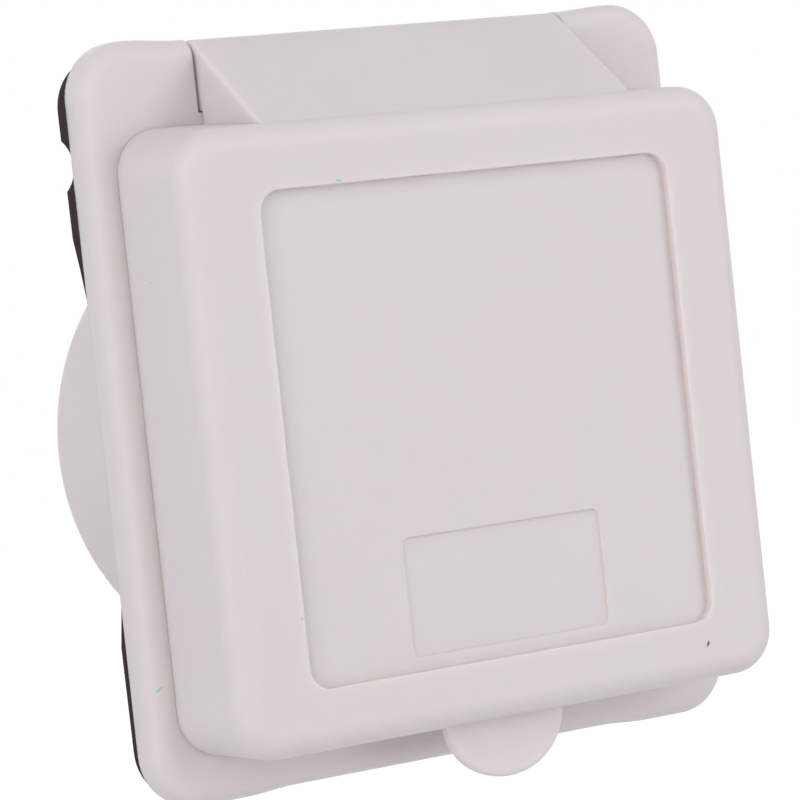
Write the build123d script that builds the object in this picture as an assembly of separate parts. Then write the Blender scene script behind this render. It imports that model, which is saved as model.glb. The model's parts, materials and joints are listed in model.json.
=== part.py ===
"""Caravan power inlet: a flanged moulding set in the wall, with a sprung lid over three contact pins."""

from build123d import *
import math
import os

# Frame: X to the right seen from the front, Y into the wall, Z up. The origin is the centre of the
# four fixing holes, in the plane of the flange's back face. All sizes are in millimetres.

# General clearances
gap = 0.3           # between pieces that move past each other
fit = 0.05          # round a piece that sits in its seat

# Flange
flange_w = 100.0
flange_top = 58.9
flange_bottom = -49.2
flange_t = 5.5
flange_corner_r = 8.0
flange_edge_r = 3.0
flange_wall = 2.5       # wall left in front of and round the hollow back
relief_depth = 0.45     # top and bottom edges are set in a little between their corners
relief_side = 16.0      # from the flange's side to the start of the bottom's step
relief_top_side = 10.0  # and of the top's
relief_run = 6.0
relief_blend_r = 30.0
rib_t = 1.6

# Fixing holes, under the lid
hole_x = 70.0
hole_z = 68.0
hole_r = 2.25
sink_r = 4.3
boss_r = 6.0

# Well, collar and the skirt that goes through the wall
skirt_r = 36.1
skirt_wall = 2.5
skirt_end = 20.0        # depth of the skirt's end behind the wall plane
well_room = 10.1        # between the well's bore and the skirt's outside
well_wall = 2.4
well_draft = 0.4
collar_wall = 3.5
collar_h = 10.3         # from the flange's face to the collar's edge
collar_lip_r = 0.8
lap = 3.0               # length of the cover's rim over the skirt
lap_wall = 1.1
shelf_w = 4.0
shelf_t = 2.5
well_end = 18.0         # depth of the face that pin_carrier bears on
post_inset = 5.5        # from the skirt's outside to the middle of a post
post_r = 3.4
carrier_angles = (30, 150, 270)
cover_angles = (90, 210, 330)

# Lid
lid_gap = 0.2
lid_w = 92.2
lid_top = 44.8          # at the front
lid_fall = 1.4          # the lid's top wall is this much higher at its rim
lid_bottom = -42.1
lid_depth = 18.2
lid_corner_r = 6.5
lid_edge_r = 3.3
lid_wall = 2.4
lid_front_wall = 3.2
panel_side = 69.0
panel_z = 1.2
panel_depth = 1.2
panel_r = 3.2
label_w = 33.6
label_h = 16.8
label_z = -22.9
label_depth = 0.3
label_r = 1.2
tab_half = 10.1
tab_drop = 8.9
tab_t = 2.2
tab_place = 0.65        # share of the lid's depth from its rim

# Hinge
pin_r = 1.1
pin_play = 0.06
pin_seat = 6.0
barrel_r = 2.8
wedge_w = 63.0
wedge_drop = 0.6        # the hinge barrel's top lies this far under the shoulders' top
wedge_wall = 2.0
wedge_edge_r = 0.6
ramp_foot = 2.6         # from the lid's front to the foot of the ramp
slot_gap = 0.5
notch_floor = 47.9
hood_end = 75.0         # degrees above the rear horizontal where the hood stops
centre_barrel = 10.0
end_barrel = 6.5
hinge_block_z = 43.5

# Torsion springs
wire_r = 0.35
coil_turns = 5
coil_pitch = 0.8
coil_x = 12.5
leg_angle = 45.0
leg_sink = 3.0          # how far the fixed leg reaches into the flange
leg_play = 0.25         # room round the legs in the flange and in the wedge

# Lid seal
seal_step = 1.2         # from the well's bore to the seal's
seal_w = 4.6
seal_edge_r = 0.7
seal_rib_t = 1.4
seal_rib_h = 3.0
seal_play = 0.2

# Wall gasket
gasket_t = 2.5
gasket_inset = 0.4      # inside the flange's sides
gasket_ends = 1.2       # inside its top and bottom
gasket_corner_r = 7.5
gasket_skew = 0.45      # degrees, as it was stuck on
gasket_play = 1.1       # round the skirt
gasket_screw_r = 2.8
scallop_half = 29.0
scallop_depth = 2.1
scallop_z = 3.5
nick_r = 5.0
nick_depth = 1.5
nick_z = 42.7

# Pin carrier
carrier_face = 4.0      # how far its front boss stands into the well
carrier_t = 4.5
carrier_play = 0.9      # between the disc and the posts
carrier_chamfer = 0.8
lug_w = 8.0
lug_hole_r = 1.6
barrier_t = 1.6
barrier_h = 7.5
groove_step = 1.0       # from the shelf's bore to the groove
groove_w = 2.0
groove_depth = 1.0

# Contacts
live_w = 6.35
blade_t = 1.6
live_out = 17.0
live_at = 7.92
earth_w = 9.08
earth_out = 20.0
earth_at = 10.31
tip_chamfer = 0.5
term_along = 8.0
term_deep = 7.0
term_h = 8.5
term_at = 9.5
wire_hole_r = 1.7
wire_hole_from_back = 4.3
live_angle = 60.0       # of each live contact from the vertical

# Screws
term_screw_r = 1.5
term_screw_head_r = 2.5
term_screw_head_h = 1.7
carrier_screw_r = 1.2
carrier_screw_head_r = 2.7
carrier_screw_head_h = 2.0
carrier_screw_bite = 12.0
cover_screw_r = 1.45
cover_screw_head_r = 2.9
cover_screw_head_h = 2.4
cover_screw_bite = 12.0
slot_w = 0.8
slot_depth = 0.9
head_edge = 0.4

# Rear cover
cover_back = 42.0
cover_wall = 2.5
cover_edge_r = 1.0
pillar_r = 2.8
pillar_root_r = 3.6
pillar_root_from = 1.5
cover_hole_r = 1.7
sink_depth = 3.0
ring_t = 0.9            # thickness of the ring between cover and skirt

# Cable gland
gland_r = 9.9
gland_bore_r = 6.5
gland_hex = 24.0
gland_hex_t = 5.0
gland_nose_r = 8.6
gland_nose_l = 9.7
gland_in = 3.5          # length of thread inside, past the cover's wall
washer_t = 1.0
washer_r = 13.4
locknut_hex = 25.0
locknut_t = 3.4
nut_hex = 21.6
nut_gap = 1.0
nut_hex_l = 7.2
nut_l = 13.7
nut_mouth_r = 6.3
nut_tip_r = 7.8
nut_mouth_l = 2.5
sleeve_r = 4.6
sleeve_l = 9.5
sleeve_start = 6.7      # from the cover's back to the sleeve's inner end
washer_seat_r = 10.15

# Places worked out from the sizes above
face_y = -flange_t
rim_y = face_y - lid_gap
lid_y = rim_y - lid_depth
lid_inner_y = lid_y + lid_front_wall
lid_slope = lid_fall / lid_depth
pocket_y = face_y + flange_wall
collar_y = face_y - collar_h
well_r = skirt_r - well_room
well_out_r = well_r + well_wall
shelf_r = well_r - shelf_w
collar_r = well_r + collar_wall
skirt_in_r = skirt_r - skirt_wall
lap_r = skirt_r - lap_wall - fit
post_pcd_r = skirt_r - post_inset
seal_in_r = well_r + seal_step
gasket_hole_r = skirt_r + gasket_play
carrier_r = post_pcd_r - post_r - carrier_play
groove_in_r = shelf_r + groove_step
pin_y = -(barrel_r + gap)
pin_z = flange_top - wedge_drop - barrel_r
coil_r = pin_r + 0.1 + wire_r
hood_r = coil_r + wire_r + 0.15
notch_half = wedge_w / 2 + slot_gap
carrier_y = well_end - carrier_face
carrier_back = well_end + carrier_t
term_back = carrier_back + term_h
cover_in_y = cover_back - cover_wall
washer_back = cover_back + washer_t
hex_back = washer_back + gland_hex_t
nose_end = hex_back + gland_nose_l
nut_start = hex_back + nut_gap
nut_end = nut_start + nut_l


def slab(shape, y_from, y_to):
    """Flat shape in X and Z, made solid from one Y to another."""
    low, high = sorted((y_from, y_to))
    return extrude(Plane.XZ.offset(-high) * shape, amount=high - low, dir=(0, -1, 0))


def rod(r, y_from, y_to, x=0.0, z=0.0):
    """Round bar along Y."""
    return slab(Pos(x, z) * Circle(r), y_from, y_to)


def turned(*points):
    """Ring turned about Y from a section of radius and Y pairs."""
    return revolve(Plane.XY * Polygon(*points, align=None), axis=Axis.Y, revolution_arc=360)


def bar_x(profile, x_from, x_to):
    """Section in Y and Z, made solid from one X to another."""
    low, high = sorted((x_from, x_to))
    return extrude(Plane.YZ.offset(low) * profile, amount=high - low, dir=(1, 0, 0))


def polar(r, degrees):
    """X and Z of a point at a radius and an angle from +X."""
    return r * math.cos(math.radians(degrees)), r * math.sin(math.radians(degrees))


def group(solids):
    """Several separate solids kept as one node."""
    return Compound(children=list(solids))


def flange_outline():
    """Outline of the flange, its top and bottom edges set in between the corners."""
    half = flange_w / 2
    steps = ((flange_bottom, 1, half - relief_side), (flange_top, -1, half - relief_top_side))
    (low, up, low_x), (high, down, high_x) = steps
    shape = Polygon(
        (-half, low), (-low_x, low), (relief_run - low_x, low + up * relief_depth),
        (low_x - relief_run, low + up * relief_depth), (low_x, low), (half, low),
        (half, high), (high_x, high), (high_x - relief_run, high + down * relief_depth),
        (relief_run - high_x, high + down * relief_depth), (-high_x, high), (-half, high), align=None)
    corners = [v for v in shape.vertices() if abs(v.X) > high_x + 1]
    shape = fillet(corners, flange_corner_r)
    bends = [v for v in shape.vertices()
             if any(abs(v.Y - edge) < relief_depth + 0.1 and abs(v.X) < x + 0.1 for edge, way, x in steps)]
    return fillet(bends, relief_blend_r)


def flange_plate():
    """Solid flange with its rounded front edge and the notch for the hinge."""
    plate = slab(flange_outline(), face_y, 0)
    front = plate.faces().sort_by(Axis.Y)[0]
    plate = fillet(front.outer_wire().edges(), flange_edge_r)
    notch = Pos(0, notch_floor + flange_top / 2) * Rectangle(2 * notch_half, flange_top)
    return plate - slab(notch, face_y - 1, 1)


def flange_hollow():
    """The hollow back of the flange, cleared round the skirt, the screw bosses and the ribs."""
    wide = flange_w - 2 * flange_wall
    low = flange_bottom + relief_depth + flange_wall
    tall = hinge_block_z - low
    area = Pos(0, low + tall / 2) * RectangleRounded(wide, tall, flange_corner_r - flange_wall)
    area -= Circle(skirt_r + flange_wall)
    for x, z in fixing_points():
        area -= Pos(x, z) * Circle(boss_r)
    area -= Rectangle(wide, rib_t)
    area -= Rectangle(rib_t, 2 * tall)
    return slab(area, pocket_y, 1)


def fixing_points():
    """Centres of the four fixing holes."""
    return [(sx * hole_x / 2, sz * hole_z / 2) for sx in (-1, 1) for sz in (-1, 1)]


def hinge_seats():
    """Two seats for the hinge pin in the shoulders, open to the back."""
    end = notch_half + pin_seat
    bore = Pos(pin_y, pin_z) * Circle(pin_r + fit)
    way = Pos(pin_y / 2, pin_z) * Rectangle(-pin_y, 2 * (pin_r + fit))
    return bar_x(bore + way, -end, end)


def front_frame():
    """Flange, shoulders, collar, well and skirt, moulded as one."""
    body = flange_plate()
    body -= flange_hollow()
    body -= rod(well_out_r, face_y - 1, 1)
    body -= rod(skirt_in_r, pocket_y, 1)
    well = turned(
        (well_r, collar_y), (collar_r, collar_y), (collar_r, face_y + flange_wall / 2),
        (well_out_r, pocket_y), (well_out_r, well_end), (shelf_r, well_end),
        (shelf_r, well_end - shelf_t), (well_r - well_draft, well_end - shelf_t))
    lip = well.edges().filter_by(GeomType.CIRCLE).group_by(Axis.Y)[0]
    body += fillet(lip, collar_lip_r)
    body += turned(
        (skirt_in_r, -0.5), (skirt_r, -0.5), (skirt_r, skirt_end - lap),
        (lap_r, skirt_end - lap), (lap_r, skirt_end), (skirt_in_r, skirt_end))
    for angle in carrier_angles:
        x, z = polar(post_pcd_r, angle)
        body += rod(post_r, pocket_y - 0.5, well_end, x, z)
    for angle in cover_angles:
        x, z = polar(post_pcd_r, angle)
        body += rod(post_r, pocket_y - 0.5, skirt_end, x, z)
    for angle in carrier_angles:
        x, z = polar(post_pcd_r, angle)
        body -= rod(carrier_screw_r + fit, well_end - carrier_screw_bite - 1, well_end + 1, x, z)
    for angle in cover_angles:
        x, z = polar(post_pcd_r, angle)
        body -= rod(cover_screw_r + fit, skirt_end - cover_screw_bite - 1, skirt_end + 1, x, z)
    sink_end = face_y + sink_r - hole_r
    sink = turned((0, face_y), (sink_r, face_y), (hole_r, sink_end), (0, sink_end))
    for x, z in fixing_points():
        body -= rod(hole_r, face_y - 1, 1, x, z)
        body -= Pos(x, 0, z) * sink
    body -= hinge_seats()
    for side in (-1, 1):
        body -= fixed_leg(wire_r + leg_play, side)
    return body


def ramp_points():
    """Foot of the ramp, the point where it meets the hinge barrel, and the ramp's slope."""
    foot = Vector(lid_y + ramp_foot, lid_top_at(lid_y + ramp_foot))
    axis = Vector(pin_y, pin_z)
    away = axis - foot
    slope = math.atan2(away.Y, away.X) + math.asin(barrel_r / away.length)
    run = math.sqrt(away.length ** 2 - barrel_r ** 2)
    top = foot + Vector(math.cos(slope), math.sin(slope)) * run
    return foot, top, slope


def wedge_block():
    """Solid wedge: its ramp, the hinge barrel along the top and what fills the notch."""
    foot, top, slope = ramp_points()
    axis = Vector(pin_y, pin_z)
    back = pin_y + barrel_r
    half_turn = (slope + math.pi / 2) / 2
    over = axis + Vector(math.cos(half_turn), math.sin(half_turn)) * barrel_r
    root = lid_top - lid_wall / 3
    outline = make_face([
        Line(foot, top), ThreePointArc(top, over, (back, pin_z)), Line((back, pin_z), (back, root)),
        Line((back, root), (foot.X, root)), Line((foot.X, root), foot)])
    swing = Pos(pin_y, pin_z) * Circle(pin_z - notch_floor - gap)
    side = 4 * lid_depth
    before_rim = Pos(rim_y - side / 2, pin_z) * Rectangle(side, side)
    before_pin = Pos(pin_y - side / 2, notch_floor + lid_gap + side / 2) * Rectangle(side, side)
    block = bar_x(outline & (swing + before_rim + before_pin), -wedge_w / 2, wedge_w / 2)
    normal = Vector(-math.sin(slope), math.cos(slope))
    rims = []
    for edge in block.edges():
        middle = edge @ 0.5
        point = Vector(middle.Y, middle.Z)
        on_ramp = abs((point - foot).dot(normal)) < 0.01
        on_barrel = abs((point - axis).length - barrel_r) < 0.01 and point.Y > pin_z
        if abs(abs(middle.X) - wedge_w / 2) < 0.01 and (on_ramp or on_barrel):
            rims.append(edge)
    return fillet(rims, wedge_edge_r)


def wedge_hollow():
    """Hollow between the wedge's cheeks, under the ramp and the hood that curls over the pin."""
    foot, top, slope = ramp_points()
    axis = Pos(pin_y, pin_z)
    inward = Vector(math.sin(slope), -math.cos(slope)) * wedge_wall
    reach = 3 * barrel_r
    hood_stop = polar(reach, hood_end)
    hood_start = polar(reach, math.degrees(slope) + 90)
    hood = axis * (Circle(barrel_r + wedge_wall) - Circle(hood_r))
    hood &= axis * Polygon((0, 0), hood_stop, hood_start, align=None)
    ramp = Polygon(foot - inward, top - inward, top + inward, foot + inward, align=None)
    ramp -= axis * Circle(hood_r)
    rim_z, far, high = lid_top_at(rim_y) + fit, rim_y + reach, flange_top + reach
    room = Polygon(
        (foot.X, foot.Y + fit), (rim_y, rim_z), (far, rim_z), (far, high), (foot.X, high), align=None)
    half = wedge_w / 2 - wedge_wall
    return bar_x(room - (ramp + hood), -half, half)


def barrel_spans():
    """Where along X the hinge barrels stand."""
    out = wedge_w / 2 - wedge_wall / 2
    inner = wedge_w / 2 - end_barrel
    return [(-out, -inner), (-centre_barrel / 2, centre_barrel / 2), (inner, out)]


def coil_tangent(degrees):
    """Direction of the right spring's wire where it has turned this far round the pin."""
    turn = math.radians(degrees)
    rise = coil_pitch / (2 * math.pi)
    return Vector(rise, -coil_r * math.sin(turn), coil_r * math.cos(turn)).normalized()


def wire(start, way, length, r):
    """Straight round bar from a point."""
    return Solid.make_cylinder(r, length, Plane(origin=start, z_dir=way))


def moving_leg(r, side):
    """A spring's moving leg, from its coil to just over the lid's top wall."""
    turn = 90 + leg_angle
    over, up = polar(coil_r, turn)
    start = Vector(coil_x + coil_pitch * coil_turns_in_all(), pin_y + over, pin_z + up)
    way = coil_tangent(turn)
    room = start.Z - lid_top_at(start.Y) - wire_r - fit
    leg = wire(start, way, room / (lid_slope * way.Y - way.Z), r)
    return leg if side > 0 else mirror(leg, about=Plane.YZ)


def fixed_leg(r, side):
    """A spring's fixed leg, down from its coil into the notch's floor."""
    start = Vector(coil_x, pin_y + coil_r, pin_z)
    way = -coil_tangent(0)
    leg = wire(start, way, (pin_z - notch_floor + leg_sink) / -way.Z, r)
    return leg if side > 0 else mirror(leg, about=Plane.YZ)


def coil_turns_in_all():
    """Turns from the fixed leg to the moving one."""
    return coil_turns + (90 + leg_angle) / 360


def lid_top_at(y):
    """Height of the lid's top wall at a place between its front and its rim."""
    return lid_top + lid_slope * (y - lid_y)


def lid_block(inset, y_front, y_rear):
    """Block as the lid's outside, or inset from it by a wall, with its four long edges rounded."""
    half, low = lid_w / 2 - inset, lid_bottom + inset
    side = Polygon(
        (y_front, low), (y_rear, low), (y_rear, lid_top_at(y_rear) - inset),
        (y_front, lid_top_at(y_front) - inset), align=None)
    block = bar_x(side, -half, half)
    return fillet([e for e in block.edges() if abs((e % 0.5).Y) > 0.9], lid_corner_r - inset)


def lid_shell():
    """The lid's box with its rounded front, recessed panel and bare label field."""
    outer = lid_block(0, lid_y, rim_y)
    front = outer.faces().sort_by(Axis.Y)[0]
    outer = fillet(front.outer_wire().edges(), lid_edge_r)
    panel = Pos(0, panel_z) * RectangleRounded(panel_side, panel_side, panel_r)
    outer -= slab(panel, lid_y - 1, lid_y + panel_depth)
    label = Pos(0, label_z) * RectangleRounded(label_w, label_h, label_r)
    outer -= slab(label, lid_y - 1, lid_y + panel_depth + label_depth)
    return outer


def lid_cavity():
    """Inside of the lid's box."""
    return lid_block(lid_wall, lid_inner_y, rim_y + 1)


def thumb_tab():
    """Half-oval tab under the lid."""
    middle = rim_y - tab_place * lid_depth
    oval = Pos(0, lid_bottom) * Ellipse(tab_half, tab_drop)
    keep = Pos(0, lid_bottom + lid_wall / 2 - tab_drop) * Rectangle(2 * tab_half, 2 * tab_drop)
    plate = slab(oval & keep, middle - tab_t / 2, middle + tab_t / 2)
    rims = [e for e in plate.edges() if e.geom_type == GeomType.ELLIPSE]
    return fillet(rims, tab_t * 0.35)


def seal_ribs():
    """Two rings inside the lid that hold the seal."""
    inner = seal_in_r - seal_play
    outer = seal_in_r + seal_w + seal_play
    top = lid_inner_y + seal_rib_h
    rings = Circle(inner) - Circle(inner - seal_rib_t)
    rings += Circle(outer + seal_rib_t) - Circle(outer)
    return slab(rings, lid_inner_y - 0.5, top)


def lid():
    """Deep lid with its hinge wedge and thumb tab, moulded as one."""
    body = lid_shell() + wedge_block() + thumb_tab()
    body -= lid_cavity()
    body -= wedge_hollow()
    body += seal_ribs()
    ring = Pos(pin_y, pin_z) * Circle(barrel_r)
    for x_from, x_to in barrel_spans():
        body += bar_x(ring, x_from, x_to)
    body -= bar_x(Pos(pin_y, pin_z) * Circle(pin_r + pin_play), -wedge_w, wedge_w)
    for side in (-1, 1):
        body -= moving_leg(wire_r + leg_play, side)
    return body


def hinge_pin():
    """Steel pin, as long as its two seats allow."""
    half = notch_half + pin_seat - fit
    pin = bar_x(Pos(pin_y, pin_z) * Circle(pin_r), -half, half)
    return chamfer(pin.edges().filter_by(GeomType.CIRCLE), 0.2)


def lid_spring(side):
    """Torsion spring round the pin: fixed leg down into the flange, moving leg in the wedge."""
    turns = coil_turns_in_all()
    path = Helix(pitch=coil_pitch, height=coil_pitch * turns, radius=coil_r)
    section = Plane(origin=path @ 0, z_dir=path % 0) * Circle(wire_r)
    coil = sweep(section, path=path, is_frenet=True)
    to_hinge = Plane(origin=(coil_x, pin_y, pin_z), x_dir=(0, 1, 0), z_dir=(1, 0, 0))
    spring = to_hinge.location * coil + moving_leg(wire_r, 1) + fixed_leg(wire_r, 1)
    return spring if side > 0 else mirror(spring, about=Plane.YZ)


def lid_seal():
    """Rubber ring that shuts on the collar's edge."""
    ring = slab(Circle(seal_in_r + seal_w) - Circle(seal_in_r), lid_inner_y, collar_y - gap)
    return fillet(ring.edges().filter_by(GeomType.CIRCLE).group_by(Axis.Y)[-1], seal_edge_r)


def wall_gasket():
    """Foam sheet behind the flange, its sides cut in, stuck on a little askew."""
    half = flange_w / 2 - gasket_inset
    tall = flange_top - flange_bottom - 2 * gasket_ends
    middle = (flange_top + flange_bottom) / 2
    sheet = Pos(0, middle) * RectangleRounded(2 * half, tall, gasket_corner_r)
    bow_r = (scallop_half ** 2 + scallop_depth ** 2) / (2 * scallop_depth)
    for side in (-1, 1):
        sheet -= Pos(side * (half - scallop_depth + bow_r), scallop_z) * Circle(bow_r)
        sheet -= Pos(side * (half + nick_r - nick_depth), nick_z) * Circle(nick_r)
    sheet = Rot(0, 0, gasket_skew) * sheet - Circle(gasket_hole_r)
    for x, z in fixing_points():
        sheet -= Pos(x, z) * Circle(gasket_screw_r)
    return slab(sheet, 0, gasket_t)


def pin_carrier():
    """Insulating disc with three lugs, slots for the contacts and barriers between them."""
    reach = skirt_in_r - gap - 0.1
    plate = Circle(carrier_r)
    for angle in carrier_angles:
        plate += (Rot(0, 0, angle) * Pos(reach / 2, 0) * Rectangle(reach, lug_w)) & Circle(reach)
    body = slab(plate, well_end, carrier_back)
    nose = rod(shelf_r - 0.2, carrier_y, well_end + 0.5)
    front = nose.edges().group_by(Axis.Y)[0]
    body += chamfer(front, carrier_chamfer)
    arm_in, arm_out = 1.0, shelf_r
    arm = Pos((arm_in + arm_out) / 2, 0) * Rectangle(arm_out - arm_in, barrier_t)
    arms = Rot(0, 0, cover_angles[0]) * arm
    for angle in cover_angles[1:]:
        arms += Rot(0, 0, angle) * arm
    body += slab(arms, carrier_back - 0.5, carrier_back + barrier_h)
    groove = Circle(groove_in_r + groove_w) - Circle(groove_in_r)
    body -= slab(groove, well_end - 1, well_end + groove_depth)
    for angle in carrier_angles:
        x, z = polar(post_pcd_r, angle)
        body -= rod(lug_hole_r, well_end - 1, carrier_back + 1, x, z)
    for turn, width, across, at in contact_layout():
        size = (width + 2 * fit, blade_t + 2 * fit)
        slot = Rectangle(*(reversed(size) if across else size))
        body -= Rot(0, turn, 0) * slab(Pos(0, at) * slot, carrier_y - 1, carrier_back + 1)
    return body


def contact_layout():
    """Turn about Y, blade width, whether the blade stands radially, and its radius, for each contact."""
    return [
        (-live_angle, live_w, False, live_at),
        (live_angle, live_w, False, live_at),
        (180.0, earth_w, True, earth_at),
    ]


def contact(index):
    """One flat contact with its tunnel terminal."""
    turn, width, across, at = contact_layout()[index]
    out = earth_out if across else live_out
    blade = Pos(0, at) * (Rectangle(blade_t, width) if across else Rectangle(width, blade_t))
    body = slab(blade, carrier_y - out, carrier_back + 0.5)
    tip = body.faces().sort_by(Axis.Y)[0]
    body = chamfer(tip.edges(), tip_chamfer)
    block = Pos(0, term_at) * RectangleRounded(term_along, term_deep, 0.6)
    body += slab(block, carrier_back, term_back)
    tunnel = Pos(0, term_back - wire_hole_from_back, term_at) * Rot(0, 90, 0)
    body -= tunnel * Cylinder(wire_hole_r, term_along + 1)
    body -= rod(term_screw_r + fit, term_back - wire_hole_from_back, term_back + 1, 0, term_at)
    return Rot(0, turn, 0) * body


def screw(r, length, head_r, head_h):
    """Slotted screw along Y: its head's seat at Y 0, its point towards -Y."""
    shank = rod(r, -length, 0)
    shank = chamfer(shank.edges().group_by(Axis.Y)[0], r * 0.4)
    head = rod(head_r, 0, head_h)
    head = fillet(head.edges().group_by(Axis.Y)[-1], head_edge)
    slot = slab(Rectangle(2 * head_r + 1, slot_w), head_h - slot_depth, head_h + 1)
    return shank + head - slot


def terminal_screws():
    """One clamping screw in each terminal, its point just short of the far wall of the tunnel."""
    bite = wire_hole_from_back - 0.2
    one = Pos(0, term_back + fit, term_at) * screw(
        term_screw_r, bite, term_screw_head_r, term_screw_head_h)
    return group(Rot(0, turn, 0) * one for turn, *_ in contact_layout())


def ring_of(item, angles, y):
    """A screw repeated on the posts' circle."""
    places = [polar(post_pcd_r, angle) for angle in angles]
    return group(Pos(x, y, z) * item for x, z in places)


def carrier_screws():
    """Three screws that hold the carrier to the frame."""
    length = carrier_t + carrier_screw_bite
    one = screw(carrier_screw_r, length, carrier_screw_head_r, carrier_screw_head_h)
    return ring_of(one, carrier_angles, carrier_back)


def rear_cover_screws():
    """Three long screws that hold the rear cover to the frame."""
    seat = cover_back - sink_depth
    length = seat - skirt_end + cover_screw_bite
    one = screw(cover_screw_r, length, cover_screw_head_r, cover_screw_head_h)
    return ring_of(one, cover_angles, seat)


def carrier_seal():
    """Flat ring in the carrier's groove."""
    ring = Circle(groove_in_r + groove_w - fit) - Circle(groove_in_r + fit)
    return slab(ring, well_end, well_end + groove_depth - fit)


def rear_cover():
    """Round cup that closes the wiring space, with pillars for its screws."""
    rim_r = skirt_r - lap_wall
    shoulder = skirt_end + ring_t
    body = turned(
        (rim_r, skirt_end - lap), (skirt_r, skirt_end - lap), (skirt_r, cover_back),
        (washer_seat_r, cover_back), (washer_seat_r, cover_in_y), (skirt_in_r, cover_in_y),
        (skirt_in_r, shoulder), (rim_r, shoulder))
    rear = body.edges().filter_by(GeomType.CIRCLE).group_by(Axis.Y)[-1].sort_by(SortBy.LENGTH)[-1]
    body = fillet(rear, cover_edge_r)
    for angle in cover_angles:
        x, z = polar(post_pcd_r, angle)
        body += rod(pillar_r, skirt_end, cover_back - 1, x, z)
        body += rod(pillar_root_r, shoulder + pillar_root_from, cover_back - 1, x, z)
    for angle in cover_angles:
        x, z = polar(post_pcd_r, angle)
        body -= rod(cover_hole_r, skirt_end - 1, cover_back + 1, x, z)
        body -= rod(cover_screw_head_r + 0.3, cover_back - sink_depth, cover_back + 1, x, z)
    return body


def rear_cover_seal():
    """Flat ring between the cover's shoulder and the skirt's end."""
    ring = Circle(lap_r - fit) - Circle(skirt_in_r + fit)
    return slab(ring, skirt_end, skirt_end + ring_t)


def hexagon(across, y_from, y_to):
    """Hexagonal block along Y, by its width across flats."""
    return slab(RegularPolygon(across / 2, 6, major_radius=False), y_from, y_to)


def gland_washer():
    """Rubber washer under the gland's hexagon."""
    return slab(Circle(washer_r) - Circle(washer_seat_r), cover_back, washer_back)


def gland_body():
    """Gland body: thread through the cover, hexagon, and the nose that the domed nut screws on."""
    body = hexagon(gland_hex, washer_back, hex_back)
    body += rod(gland_r, cover_in_y - gland_in, washer_back + 0.5)
    body += rod(gland_nose_r, hex_back - 0.5, nose_end)
    return body - rod(gland_bore_r, cover_in_y - gland_in - 1, nose_end + 1)


def gland_locknut():
    """Hexagon nut inside the cover."""
    nut = hexagon(locknut_hex, cover_in_y - locknut_t, cover_in_y)
    return nut - rod(gland_r + fit, cover_in_y - locknut_t - 1, cover_in_y + 1)


def gland_nut():
    """Domed nut with flats, open at its mouth for the cable."""
    flats = hexagon(nut_hex, nut_start, nut_start + nut_hex_l)
    dome_r = nut_hex / 2
    dome_y = nut_start + nut_hex_l
    with_arc = ThreePointArc(
        (dome_r, dome_y), (dome_r * 0.93, (dome_y + nut_end) / 2), (nut_tip_r, nut_end))
    outline = [
        Line((0, dome_y - 0.5), (dome_r, dome_y - 0.5)), Line((dome_r, dome_y - 0.5), (dome_r, dome_y)),
        with_arc, Line((nut_tip_r, nut_end), (0, nut_end)), Line((0, nut_end), (0, dome_y - 0.5))]
    dome = revolve(make_face(outline), axis=Axis.Y, revolution_arc=360)
    thread_r = gland_nose_r + fit
    thread_end = nose_end + 0.5
    mouth_y = nut_end - nut_mouth_l
    inside = turned(
        (0, nut_start - 1), (thread_r, nut_start - 1), (thread_r, thread_end),
        (nut_mouth_r, mouth_y), (nut_mouth_r, nut_end + 1), (0, nut_end + 1))
    return flats + dome - inside


def gland_seal():
    """Rubber sleeve inside the gland's nose."""
    start = cover_back + sleeve_start
    ring = Circle(gland_bore_r - fit) - Circle(sleeve_r)
    return slab(ring, start, start + sleeve_l)


pieces = {
    "front_frame": front_frame,
    "lid": lid,
    "hinge_pin": hinge_pin,
    "lid_spring_left": lambda: lid_spring(-1),
    "lid_spring_right": lambda: lid_spring(1),
    "lid_seal": lid_seal,
    "wall_gasket": wall_gasket,
    "pin_carrier": pin_carrier,
    "carrier_seal": carrier_seal,
    "active_pin": lambda: contact(0),
    "neutral_pin": lambda: contact(1),
    "earth_pin": lambda: contact(2),
    "terminal_screws": terminal_screws,
    "carrier_screws": carrier_screws,
    "rear_cover": rear_cover,
    "rear_cover_seal": rear_cover_seal,
    "rear_cover_screws": rear_cover_screws,
    "gland_washer": gland_washer,
    "gland_body": gland_body,
    "gland_locknut": gland_locknut,
    "gland_nut": gland_nut,
    "gland_seal": gland_seal,
}

os.makedirs("parts", exist_ok=True)
for name, make in pieces.items():
    export_step(make(), f"parts/{name}.step")
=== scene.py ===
# %% [markdown]
# A caravan power inlet, dressed for its picture.
#
# The object is a square white moulding that is screwed to the outside of a caravan. A deep lid, held shut
# by two small springs, covers three contact pins. Behind the flange a foam gasket meets the wall, and a
# round cover with a cable gland closes the wiring space. The solids come from the imported model and stay
# where they are, so this script only gives them finishes and adds what is finer than a solid: spring wire,
# a thread, moulded grain and the small marks of a used moulding.

import json
import math

import bpy
from mathutils import Matrix, Vector

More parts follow.
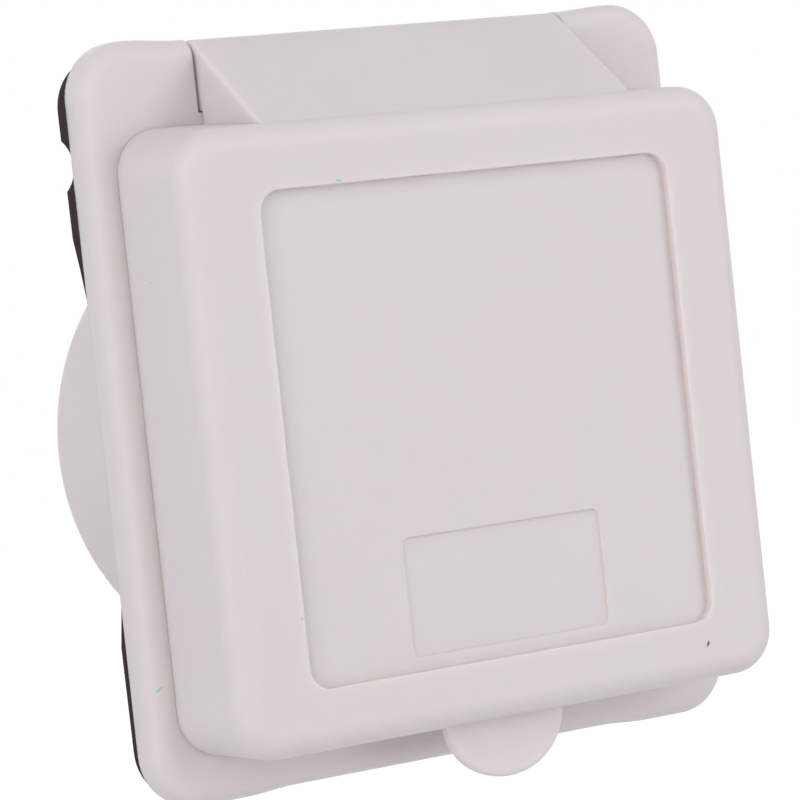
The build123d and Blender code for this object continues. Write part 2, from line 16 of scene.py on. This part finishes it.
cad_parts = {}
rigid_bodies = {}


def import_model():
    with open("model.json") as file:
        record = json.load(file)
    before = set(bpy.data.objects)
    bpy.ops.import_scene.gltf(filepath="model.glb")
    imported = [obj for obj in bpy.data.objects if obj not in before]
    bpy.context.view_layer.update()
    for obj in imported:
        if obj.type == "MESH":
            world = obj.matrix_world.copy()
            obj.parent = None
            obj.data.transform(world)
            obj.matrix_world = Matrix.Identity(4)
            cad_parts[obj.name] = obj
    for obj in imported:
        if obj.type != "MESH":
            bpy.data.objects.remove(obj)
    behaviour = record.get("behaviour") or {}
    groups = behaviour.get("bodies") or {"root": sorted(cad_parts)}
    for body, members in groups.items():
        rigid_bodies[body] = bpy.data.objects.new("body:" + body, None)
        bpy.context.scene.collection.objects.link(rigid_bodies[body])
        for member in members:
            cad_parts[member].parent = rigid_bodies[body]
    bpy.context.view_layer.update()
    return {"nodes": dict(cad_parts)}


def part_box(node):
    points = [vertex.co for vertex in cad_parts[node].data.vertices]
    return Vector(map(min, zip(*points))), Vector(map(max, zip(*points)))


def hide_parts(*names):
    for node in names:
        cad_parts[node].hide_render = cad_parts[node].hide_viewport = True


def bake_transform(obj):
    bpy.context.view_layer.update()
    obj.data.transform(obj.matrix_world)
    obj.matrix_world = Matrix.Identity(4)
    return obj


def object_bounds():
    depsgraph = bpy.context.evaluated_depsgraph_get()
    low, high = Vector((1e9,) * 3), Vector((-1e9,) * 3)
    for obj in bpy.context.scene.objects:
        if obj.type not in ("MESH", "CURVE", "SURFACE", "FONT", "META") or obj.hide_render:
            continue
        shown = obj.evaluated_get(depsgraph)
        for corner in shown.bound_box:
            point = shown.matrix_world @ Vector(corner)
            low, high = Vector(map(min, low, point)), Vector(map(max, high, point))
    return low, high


MM = 0.001

for leftover in list(bpy.data.objects):
    bpy.data.objects.remove(leftover)

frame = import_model()
nodes = frame["nodes"]

# %% [markdown]
# The photograph looks at the lid from its left, from a little above, with a long lens, and the object is
# turned a few degrees counterclockwise in the picture. A camera could be aimed with a Track To
# constraint, but the turn in the picture would then need a second object. Building the camera's own three
# axes from yaw, pitch and roll keeps all of it in three plain angles.

# %% Camera
YAW = math.radians(32.0)
PITCH = math.radians(2.41)
ROLL = math.radians(-6.19)
DISTANCE = 575.3 * MM
TARGET = Vector((-0.47, 0.0, 3.68)) * MM
LENS = 176.5
SENSOR = 36.0

forward = Vector((math.sin(YAW) * math.cos(PITCH), math.cos(YAW) * math.cos(PITCH), -math.sin(PITCH)))
level_right = Vector((math.cos(YAW), -math.sin(YAW), 0.0))
level_up = level_right.cross(forward)
camera_right = level_right * math.cos(ROLL) + level_up * math.sin(ROLL)
camera_up = level_up * math.cos(ROLL) - level_right * math.sin(ROLL)

lens = bpy.data.cameras.new("camera")
lens.lens = LENS
lens.sensor_width = SENSOR
lens.clip_start = 10 * MM
lens.clip_end = 20.0
camera = bpy.data.objects.new("camera", lens)
bpy.context.scene.collection.objects.link(camera)
turn = Matrix((camera_right, camera_up, -forward)).transposed().to_4x4()
camera.matrix_world = Matrix.Translation(TARGET - forward * DISTANCE) @ turn
bpy.context.scene.camera = camera
print("camera at", [round(part / MM) for part in camera.location], "mm")

# %% [markdown]
# Every finish below is a small network of shader nodes. Written out one node at a time such a network is
# hard to read, so one class wraps an output socket and lets plain arithmetic add the Math nodes. Another
# class holds the material and has one method that adds any other node.

# %% Shader maths as Python expressions


class Value:
    """An output socket that can be added, multiplied and compared."""

    def __init__(self, finish, socket):
        self.finish = finish
        self.socket = socket

    def math(self, operation, *others):
        """Any other Math node, with this value first."""
        return self.finish.node("ShaderNodeMath", {"operation": operation}, dict(enumerate((self, *others))))

    def __add__(self, other):
        return self.math("ADD", other)

    def __radd__(self, other):
        return self.math("ADD", other)

    def __sub__(self, other):
        return self.math("SUBTRACT", other)

    def __rsub__(self, other):
        return self.finish.node("ShaderNodeMath", {"operation": "SUBTRACT"}, {0: other, 1: self})

    def __mul__(self, other):
        return self.math("MULTIPLY", other)

    def __rmul__(self, other):
        return self.math("MULTIPLY", other)

    def __gt__(self, other):
        return self.math("GREATER_THAN", other)

    def __lt__(self, other):
        return self.math("LESS_THAN", other)

    def smooth(self, low, high):
        """0 below low, 1 above high and a soft step in between."""
        settings = {"interpolation_type": "SMOOTHSTEP"}
        sockets = {"Value": self, "From Min": low, "From Max": high}
        return self.finish.node("ShaderNodeMapRange", settings, sockets)


class Finish:
    """A material with one Principled shader, built from expressions."""

    def __init__(self, name):
        self.material = bpy.data.materials.new(name)
        self.material.use_nodes = True
        self.tree = self.material.node_tree
        self.tree.nodes.clear()
        self.place = self.node("ShaderNodeTexCoord", out="Object")

    def node(self, kind, settings=None, sockets=None, out=0):
        """Adds a node: its settings first, then the values or links of its sockets."""
        made = self.tree.nodes.new(kind)
        for key, value in (settings or {}).items():
            setattr(made, key, value)
        for key, value in (sockets or {}).items():
            if isinstance(value, Value):
                self.tree.links.new(value.socket, made.inputs[key])
            else:
                made.inputs[key].default_value = value
        return Value(self, made.outputs[out])

    def noise(self, scale, detail=2.0, roughness=0.5, place=None):
        """Soft noise from 0 to 1, with its scale in lumps per metre."""
        sockets = {"Vector": place or self.place, "Scale": scale, "Detail": detail, "Roughness": roughness}
        return self.node("ShaderNodeTexNoise", None, sockets, "Fac")

    def cells(self, scale):
        """Distance to the nearest of many scattered points, scaled in cells per metre."""
        return self.node("ShaderNodeTexVoronoi", {"feature": "F1"},
                         {"Vector": self.place, "Scale": scale}, "Distance")

    def stretched(self, x, y, z):
        """The place, stretched so that marks come out as lines."""
        return self.node("ShaderNodeMapping", None, {"Vector": self.place, "Scale": (x, y, z)})

    def parts(self, vector):
        """X, Y and Z of a vector as three values."""
        split = self.node("ShaderNodeSeparateXYZ", None, {0: vector}).socket.node
        return [Value(self, output) for output in split.outputs]

    def mix(self, share, one, other):
        """A colour between two colours."""
        return self.node("ShaderNodeMix", {"data_type": "RGBA"}, {0: share, 6: one, 7: other}, 2)

    def bump(self, height, depth, normal=None):
        """A normal from a height of 0 to 1, with its full depth in metres."""
        sockets = {"Height": height, "Distance": depth}
        if normal:
            sockets["Normal"] = normal
        return self.node("ShaderNodeBump", None, sockets)

    def open_air(self, reach):
        """1 on an open surface, falling to 0 in a crease narrower than the reach in metres."""
        return self.node("ShaderNodeAmbientOcclusion", {"samples": 4}, {"Distance": reach}, "AO")

    def soft_edges(self, radius):
        """A normal that rounds sharp edges by a radius in metres."""
        return self.node("ShaderNodeBevel", {"samples": 4}, {"Radius": radius})

    def surface(self, **sockets):
        """Ends the material in a Principled shader with these sockets, named with _ for a space."""
        named = {key.replace("_", " "): value for key, value in sockets.items()}
        shader = self.node("ShaderNodeBsdfPrincipled", None, named)
        self.to_output(shader)
        return self.material

    def to_output(self, shader):
        """Links a shader to the material's output."""
        output = self.tree.nodes.new("ShaderNodeOutputMaterial")
        self.tree.links.new(shader.socket, output.inputs["Surface"])


print("shader helpers ready")

# %% [markdown]
# The white moulding is the whole look of this object: a slightly pinkish, satin plastic with no gloss
# coat. Up close it isn't perfect. Moulded plastic has a very fine grain from the tool, shallow waves
# where thick and thin walls cooled at different speeds, and a few small flecks picked up in the press. A
# picture texture could hold these, but noise in three dimensions needs no unwrapping and runs round every
# fillet. The waves and the grain are bumps with their depths in real millimetres, so they keep their
# scale.
#
# Light also goes a few millimetres into such a plastic and comes out beside the place where it went in.
# Subsurface does that, and it keeps the steps and corners soft. In a narrow gap the light meets the
# plastic many times and turns tan. A path tracer needs many samples to show it, so an Ambient Occlusion
# node finds the places that are shut in on all sides and paints that bounced light there as a warmer and
# lighter colour.

# %% White moulded plastic
WHITE = (0.700, 0.652, 0.669, 1.0)
WHITE_WARM = (0.695, 0.634, 0.654, 1.0)
# painted bounce light: the lighter tan colour that is mixed into creases and narrow gaps
CREASE_BOUNCE_LIGHT = (0.88, 0.74, 0.67, 1.0)
CREASE_REACH = 0.6
SCATTER = 0.7
SCATTER_DEPTH = 3.2
SCATTER_TINT = (1.0, 0.78, 0.66)
GRAIN_DEPTH = 0.006
WAVE_DEPTH = 0.05
WHITE_EDGE_R = 0.35
TEAL = (0.20, 0.62, 0.50, 1.0)
SOOT = (0.06, 0.05, 0.06, 1.0)
DUST = (0.46, 0.44, 0.45, 1.0)
FLECKS = [
    # its place and its size in mm, its tilt in degrees, its colour
    ((-48.15, -5.1, -31.6), (0.66, 0.6, 0.15), 38.0, TEAL),
    ((-21.5, -23.9, 36.15), (0.55, 0.6, 0.14), -9.0, TEAL),
    ((33.0, -23.9, -36.6), (0.52, 0.6, 0.19), 66.0, SOOT),
    ((-34.95, -23.9, -23.1), (0.16, 0.6, 0.20), 0.0, DUST),
    ((-46.1, -12.0, 24.85), (0.6, 0.22, 0.10), 0.0, DUST),
]


def fleck_mask(finish, centre, size, tilt):
    """1 inside a small tilted oval, 0 outside it."""
    shift = finish.node("ShaderNodeVectorMath", {"operation": "SUBTRACT"},
                        {0: finish.place, 1: Vector(centre) * MM})
    level = finish.node("ShaderNodeVectorRotate", {"rotation_type": "Y_AXIS"},
                        {"Vector": shift, "Angle": math.radians(tilt)})
    scaled = finish.node("ShaderNodeVectorMath", {"operation": "DIVIDE"},
                         {0: level, 1: Vector(size) * MM})
    length = finish.node("ShaderNodeVectorMath", {"operation": "LENGTH"}, {0: scaled}, "Value")
    ragged = 0.4 * finish.noise(2600.0)
    return 1 - (length + ragged).smooth(0.8, 1.4)


def white_moulding(name, flecks=()):
    finish = Finish(name)
    drift = finish.noise(22.0, 2.0).smooth(0.3, 0.7)
    mottle = finish.noise(420.0, 3.0)
    body = finish.mix(drift * 0.7 + mottle * 0.3, WHITE, WHITE_WARM)
    # painted bounce light: where the Ambient Occlusion node finds a crease, the colour turns lighter and tan
    colour = finish.mix(finish.open_air(CREASE_REACH * MM).smooth(0.25, 0.95), CREASE_BOUNCE_LIGHT, body)
    for centre, size, tilt, tint in flecks:
        colour = finish.mix(fleck_mask(finish, centre, size, tilt), colour, tint)
    grain = finish.noise(3200.0, 2.0)
    waves = finish.noise(70.0, 1.0)
    rounded = finish.soft_edges(WHITE_EDGE_R * MM)
    rippled = finish.bump(waves, WAVE_DEPTH * MM, rounded)
    normal = finish.bump(grain, GRAIN_DEPTH * MM, rippled)
    roughness = 0.44 + 0.08 * mottle - 0.03 * drift
    return finish.surface(
        Base_Color=colour, Roughness=roughness, Normal=normal, IOR=1.49, Subsurface_Weight=SCATTER,
        Subsurface_Radius=SCATTER_TINT, Subsurface_Scale=SCATTER_DEPTH * MM)


frame_white = white_moulding("frame_white", FLECKS)
print("white moulding:", len(frame_white.node_tree.nodes), "nodes")

# %% [markdown]
# The wall gasket is cut from closed-cell foam. Its face has a skin, but the cut edge, which is all that
# shows, is a field of opened bubbles. A Voronoi pattern gives bubbles directly: the distance to the
# nearest point is the depth of each one.

# %% Black foam
FOAM_DARK = (0.020, 0.012, 0.014, 1.0)
FOAM_LIGHT = (0.042, 0.028, 0.029, 1.0)
BUBBLE_DEPTH = 0.16


def black_foam(name):
    finish = Finish(name)
    bubble = finish.cells(2200.0)
    cloud = finish.noise(180.0, 3.0)
    colour = finish.mix(cloud * 0.6 + bubble * 0.4, FOAM_DARK, FOAM_LIGHT)
    normal = finish.bump(bubble, BUBBLE_DEPTH * MM)
    return finish.surface(
        Base_Color=colour, Roughness=0.86 + 0.1 * cloud, Normal=normal, Specular_IOR_Level=0.25)


foam = black_foam("black_foam")
print("foam:", foam.name)

# %% [markdown]
# The lid's seal, the two flat rings, the gland's washer and its sleeve are solid rubber. It is nearly
# black, with a faint grey bloom that shows where it hasn't been rubbed, and a fine texture from the
# mould.

# %% Black rubber
RUBBER_BLACK = (0.018, 0.018, 0.019, 1.0)
RUBBER_BLOOM = (0.052, 0.051, 0.050, 1.0)
RUBBER_EDGE_R = 0.3
RUBBER_SKIN_DEPTH = 0.012


def black_rubber(name):
    finish = Finish(name)
    bloom = finish.noise(140.0, 4.0, 0.6).smooth(0.35, 0.75)
    colour = finish.mix(bloom, RUBBER_BLACK, RUBBER_BLOOM)
    skin = finish.noise(1900.0, 3.0)
    normal = finish.bump(skin, RUBBER_SKIN_DEPTH * MM, finish.soft_edges(RUBBER_EDGE_R * MM))
    return finish.surface(Base_Color=colour, Roughness=0.58 + 0.18 * bloom, Normal=normal)


rubber = black_rubber("black_rubber")
print("rubber:", rubber.name)

# %% [markdown]
# The carrier that holds the pins is a hard grey insulating moulding, and the gland is black nylon. Both
# are the same kind of finish with other numbers: a base colour, a lighter tone for the ridges of a fine
# grain, and a roughness that changes a little with it. One function makes both.

# %% Grey moulding and black nylon
NYLON_DARK = (0.020, 0.020, 0.022, 1.0)
NYLON_LIGHT = (0.042, 0.042, 0.045, 1.0)
NYLON_GRAIN_DEPTH = 0.012
MOULDED_EDGE_R = 0.25


def plain_moulding(name, dark, light, roughness, grain_size, depth):
    finish = Finish(name)
    grain = finish.noise(1000.0 / grain_size, 3.0)
    drift = finish.noise(60.0, 2.0)
    colour = finish.mix(grain * 0.5 + drift * 0.5, dark, light)
    rounded = finish.soft_edges(MOULDED_EDGE_R * MM)
    normal = finish.bump(grain, depth * MM, rounded)
    return finish.surface(Base_Color=colour, Roughness=roughness + 0.1 * grain, Normal=normal)


grey_moulding = plain_moulding(
    "grey_moulding", dark=(0.135, 0.135, 0.145, 1.0), light=(0.185, 0.185, 0.195, 1.0),
    roughness=0.46, grain_size=0.5, depth=0.008)
black_nylon = plain_moulding(
    "black_nylon", dark=NYLON_DARK, light=NYLON_LIGHT,
    roughness=0.38, grain_size=0.7, depth=NYLON_GRAIN_DEPTH)
print("mouldings:", grey_moulding.name, black_nylon.name)

# %% [markdown]
# The gland's body is one nylon moulding with a thread at each end. The thread shows in the gap between
# the domed nut and the hexagon, and inside the cover under the locknut. It could be a swept ridge, but
# the nut and the locknut hide nearly all of it, so it is drawn as height instead: the turn round the axis
# and the distance along it, added together, climb by one at each turn, and a triangle wave of that sum is
# a thread.

# %% Threaded nylon
THREAD_PITCH = 1.5
THREAD_DEPTH = 0.45
THREAD_OUT_R = 9.95
THREAD_IN_R = 7.5


def threaded_nylon(name, dark, light):
    finish = Finish(name)
    x, y, z = finish.parts(finish.place)
    turn = z.math("ARCTAN2", x) * (0.5 / math.pi)
    climb = y * (1 / (THREAD_PITCH * MM)) - turn
    ridge = 2 * climb.math("PINGPONG", 0.5)
    radius = (x * x + z * z).math("SQRT")
    on_thread = (radius < THREAD_OUT_R * MM) * (radius > THREAD_IN_R * MM)
    grain = finish.noise(1400.0, 3.0)
    colour = finish.mix(grain * 0.5 + ridge * on_thread * 0.4, dark, light)
    rounded = finish.soft_edges(MOULDED_EDGE_R * MM)
    cut = finish.bump(ridge.smooth(0.1, 0.9) * on_thread, THREAD_DEPTH * MM, rounded)
    normal = finish.bump(grain, NYLON_GRAIN_DEPTH * MM, cut)
    return finish.surface(Base_Color=colour, Roughness=0.38 + 0.1 * grain, Normal=normal)


gland_nylon = threaded_nylon("gland_nylon", NYLON_DARK, NYLON_LIGHT)
print("gland nylon:", len(gland_nylon.node_tree.nodes), "nodes")

# %% [markdown]
# Four metals are used: nickel-plated brass in the contacts, zinc-plated steel in the screws, stainless
# steel in the hinge pin and drawn spring wire. A metal is told by its reflections, so what makes each one
# real is how its roughness is broken up. Turned and drawn parts have lines along one direction: the noise
# is read from a place that is stretched along the part, which draws the lumps out into streaks.

# %% Metals
METAL_EDGE_R = 0.15


def metal(name, colour, tint, roughness, streak, depth):
    finish = Finish(name)
    lines = finish.noise(1000.0, 2.0, place=finish.stretched(*streak))
    stain = finish.noise(160.0, 3.0).smooth(0.35, 0.8)
    mixed = finish.mix(stain, colour, tint)
    rounded = finish.soft_edges(METAL_EDGE_R * MM)
    normal = finish.bump(lines, depth * MM, rounded)
    rough = roughness + 0.14 * lines + 0.08 * stain
    return finish.surface(Base_Color=mixed, Metallic=1.0, Roughness=rough, Normal=normal)


plated_brass = metal(
    "plated_brass", colour=(0.80, 0.71, 0.50, 1.0), tint=(0.70, 0.60, 0.41, 1.0),
    roughness=0.20, streak=(2.6, 0.16, 2.6), depth=0.004)
zinc_steel = metal(
    "zinc_steel", colour=(0.70, 0.71, 0.70, 1.0), tint=(0.62, 0.64, 0.66, 1.0),
    roughness=0.30, streak=(1.4, 1.4, 1.4), depth=0.004)
stainless = metal(
    "stainless", colour=(0.66, 0.65, 0.63, 1.0), tint=(0.58, 0.57, 0.56, 1.0),
    roughness=0.22, streak=(0.12, 2.4, 2.4), depth=0.003)
spring_wire = metal(
    "spring_wire", colour=(0.56, 0.55, 0.53, 1.0), tint=(0.45, 0.44, 0.43, 1.0),
    roughness=0.26, streak=(1.0, 3.0, 3.0), depth=0.003)
print("metals:", plated_brass.name, zinc_steel.name, stainless.name, spring_wire.name)

# %% [markdown]
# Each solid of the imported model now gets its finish. A dictionary from finish to pieces reads like the
# order that a workshop would write, and a piece that was forgotten shows up as a difference between two
# sets.

# %% Finishes of the solids
FINISHES = {
    frame_white: ["front_frame", "lid", "rear_cover"],
    foam: ["wall_gasket"],
    rubber: ["lid_seal", "carrier_seal", "rear_cover_seal", "gland_washer", "gland_seal"],
    grey_moulding: ["pin_carrier"],
    black_nylon: ["gland_locknut", "gland_nut"],
    gland_nylon: ["gland_body"],
    plated_brass: ["active_pin", "neutral_pin", "earth_pin"],
    zinc_steel: ["terminal_screws", "carrier_screws", "rear_cover_screws"],
    stainless: ["hinge_pin"],
    spring_wire: ["lid_spring_left", "lid_spring_right"],
}


def dress(piece, material):
    """Gives the whole piece one material."""
    piece.data.materials.clear()
    piece.data.materials.append(material)


for material, names in FINISHES.items():
    for name in names:
        dress(nodes[name], material)
dressed = {name for names in FINISHES.values() for name in names}
print("solids dressed:", len(dressed), "left bare:", sorted(set(nodes) - dressed))

# %% [markdown]
# Two torsion springs sit round the hinge pin, hidden until the lid is lifted. Each is one wire: a
# straight leg that goes down into the flange, five turns round the pin, and a second leg that presses on
# the lid. The solid in the frame can't bend, so a modelled wire takes its place. The wire is a curve
# through the real path, given a round section and turned into a mesh.

# %% Spring wire
WIRE_R = 0.35
COIL_TURNS = 5
COIL_PITCH = 0.8
COIL_START = 12.5
COIL_R = 1.55
LEG_ANGLE = 45.0
POINTS_A_TURN = 40

hinge_low, hinge_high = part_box("hinge_pin")
PIN_Y = (hinge_low.y + hinge_high.y) / 2 / MM
PIN_Z = (hinge_low.z + hinge_high.z) / 2 / MM
TURN_ALL = 360 * COIL_TURNS + 90 + LEG_ANGLE


def on_coil(degrees):
    """Centre of the wire after this much of a turn, for the right spring, in mm."""
    angle = math.radians(degrees)
    along = COIL_START + COIL_PITCH * degrees / 360
    return Vector((along, PIN_Y + COIL_R * math.cos(angle), PIN_Z + COIL_R * math.sin(angle)))


def coil_way(degrees):
    """Direction of the wire there."""
    angle = math.radians(degrees)
    rise = COIL_PITCH / (2 * math.pi)
    return Vector((rise, -COIL_R * math.sin(angle), COIL_R * math.cos(angle))).normalized()


def spring_path():
    """Fixed leg, coil and moving leg as one run of points."""
    spring_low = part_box("lid_spring_right")[0].z / MM
    lid_side_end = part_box("lid_spring_right")[0].y / MM
    fixed_length = (PIN_Z - spring_low) / coil_way(0).z
    last, way = on_coil(TURN_ALL), coil_way(TURN_ALL)
    moving_length = (last.y - lid_side_end - WIRE_R * abs(way.z)) / abs(way.y)
    steps = round(TURN_ALL / 360 * POINTS_A_TURN)
    foot = on_coil(0) - coil_way(0) * fixed_length
    coil = [on_coil(TURN_ALL * step / steps) for step in range(steps + 1)]
    return [foot, *coil, last + way * moving_length]


def tube(name, points, radius):
    """Round wire through points in mm, as a mesh with closed ends."""
    curve = bpy.data.curves.new(name, "CURVE")
    curve.dimensions = "3D"
    curve.bevel_depth = radius * MM
    curve.bevel_resolution = 3
    curve.use_fill_caps = True
    line = curve.splines.new("POLY")
    line.points.add(len(points) - 1)
    for slot, point in zip(line.points, points):
        slot.co = (*(Vector(point) * MM), 1.0)
    holder = bpy.data.objects.new(name, curve)
    bpy.context.scene.collection.objects.link(holder)
    bpy.context.view_layer.update()
    mesh = bpy.data.meshes.new_from_object(holder.evaluated_get(bpy.context.evaluated_depsgraph_get()))
    bpy.data.objects.remove(holder)
    mesh.name = name
    made = bpy.data.objects.new(name, mesh)
    bpy.context.scene.collection.objects.link(made)
    for face in mesh.polygons:
        face.use_smooth = True
    return made


for side, label in ((1, "right"), (-1, "left")):
    run = [Vector((side * point.x, point.y, point.z)) for point in spring_path()]
    spring = tube(f"spring_wire_{label}", run, WIRE_R)
    dress(spring, spring_wire)
    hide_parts(f"lid_spring_{label}")
    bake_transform(spring)
    print(spring.name, "points:", len(run), "vertices:", len(spring.data.vertices))

# %% [markdown]
# The object hangs above a plain pale floor in front of a white background. The photograph's background is
# pure white, and adding light until the floor reaches it would wash out the white plastic. Instead the
# floor and the world are white only to the camera and to mirror-like rays: Light Path tells them apart.
# The floor still darkens where the object keeps light off it, because a part of it stays an ordinary matt
# surface.

# %% Floor and world
FLOOR_GLOW = 0.92
FLOOR_MATT = 0.24
FLOOR_DROP = 420.0
FLOOR_HALF = 6.0

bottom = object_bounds()[0].z - FLOOR_DROP * MM
floor_mesh = bpy.data.meshes.new("floor")
corners = [(x * FLOOR_HALF, y * FLOOR_HALF, bottom) for x, y in ((-1, -1), (1, -1), (1, 1), (-1, 1))]
floor_mesh.from_pydata(corners, [], [(0, 1, 2, 3)])
floor = bpy.data.objects.new("floor", floor_mesh)
bpy.context.scene.collection.objects.link(floor)


def seen_directly(finish):
    """1 for rays from the camera, from a mirror or through glass, 0 for the light that falls on things."""
    path = [finish.node("ShaderNodeLightPath", out=name)
            for name in ("Is Camera Ray", "Is Glossy Ray", "Is Transmission Ray")]
    return path[0].math("MAXIMUM", path[1]).math("MAXIMUM", path[2])


floor_finish = Finish("floor_white")
matt = floor_finish.node("ShaderNodeBsdfDiffuse", None, {"Color": (0.8, 0.8, 0.8, 1.0)})
thin_matt = floor_finish.node("ShaderNodeBsdfDiffuse", None, {"Color": (*[FLOOR_MATT] * 3, 1.0)})
glow = floor_finish.node("ShaderNodeEmission", None, {"Color": (1.0,) * 4, "Strength": FLOOR_GLOW})
lit = floor_finish.node("ShaderNodeAddShader", None, {0: thin_matt, 1: glow})
seen = seen_directly(floor_finish)
floor_finish.to_output(floor_finish.node("ShaderNodeMixShader", None, {0: seen, 1: matt, 2: lit}))
dress(floor, floor_finish.material)

SKY = 0.55
world = bpy.data.worlds.new("studio")
bpy.context.scene.world = world
world.use_nodes = True


class Sky(Finish):
    """The world's nodes, with the same helpers."""

    def __init__(self, target):
        self.tree = target.node_tree
        self.tree.nodes.clear()


sky = Sky(world)
room = sky.node("ShaderNodeBackground", None, {"Color": (1.0, 0.995, 0.99, 1.0), "Strength": SKY})
white_back = sky.node("ShaderNodeBackground", None, {"Color": (1.0, 1.0, 1.0, 1.0), "Strength": 1.0})
shown = sky.node("ShaderNodeMixShader", None, {0: seen_directly(sky), 1: room, 2: white_back})
world_out = sky.tree.nodes.new("ShaderNodeOutputWorld")
sky.tree.links.new(shown.socket, world_out.inputs["Surface"])
print("floor at", round(bottom / MM, 1), "mm")

# %% [markdown]
# The photograph's light comes from all sides: the lid's left side and the ramp above the lid are only a
# little darker than its face. One strong lamp can't do that, because it leaves the faces that it misses
# much darker. Here each lamp was first rendered alone. Light adds up, so the powers could be worked out
# from those pictures, and were then set a little by hand. Wide lamps were chosen, since a lamp more than
# half as wide as it is far away gives shadows without hard edges.

# %% Lamps
LAMPS = [
    # its name, its place and its side in metres, its power in watts
    ("key", (0.75, -1.10, 0.10), 0.8, 3.8),
    ("front left", (-1.20, -0.75, 0.0), 0.8, 2.9),
    ("left", (-1.40, -0.35, 0.25), 0.8, 2.4),
    ("high left", (-0.95, -0.80, 0.75), 0.8, 3.5),
    ("high right", (0.85, -0.85, 0.75), 0.8, 1.9),
    ("back", (0.3, 1.2, 0.6), 0.9, 1.2),
]


def soft_box(name, place, side, power):
    """A square white lamp that faces the middle of the object."""
    lamp = bpy.data.lights.new(name, "AREA")
    lamp.size = side
    lamp.energy = power
    holder = bpy.data.objects.new(name, lamp)
    bpy.context.scene.collection.objects.link(holder)
    holder.location = place
    holder.rotation_euler = (-Vector(place)).to_track_quat("-Z", "Y").to_euler()


for lamp_values in LAMPS:
    soft_box(*lamp_values)
print("lamps:", len(LAMPS), "with", round(sum(power for *_, power in LAMPS), 1), "W")

# %% Colour management
bpy.context.scene.view_settings.view_transform = "Standard"
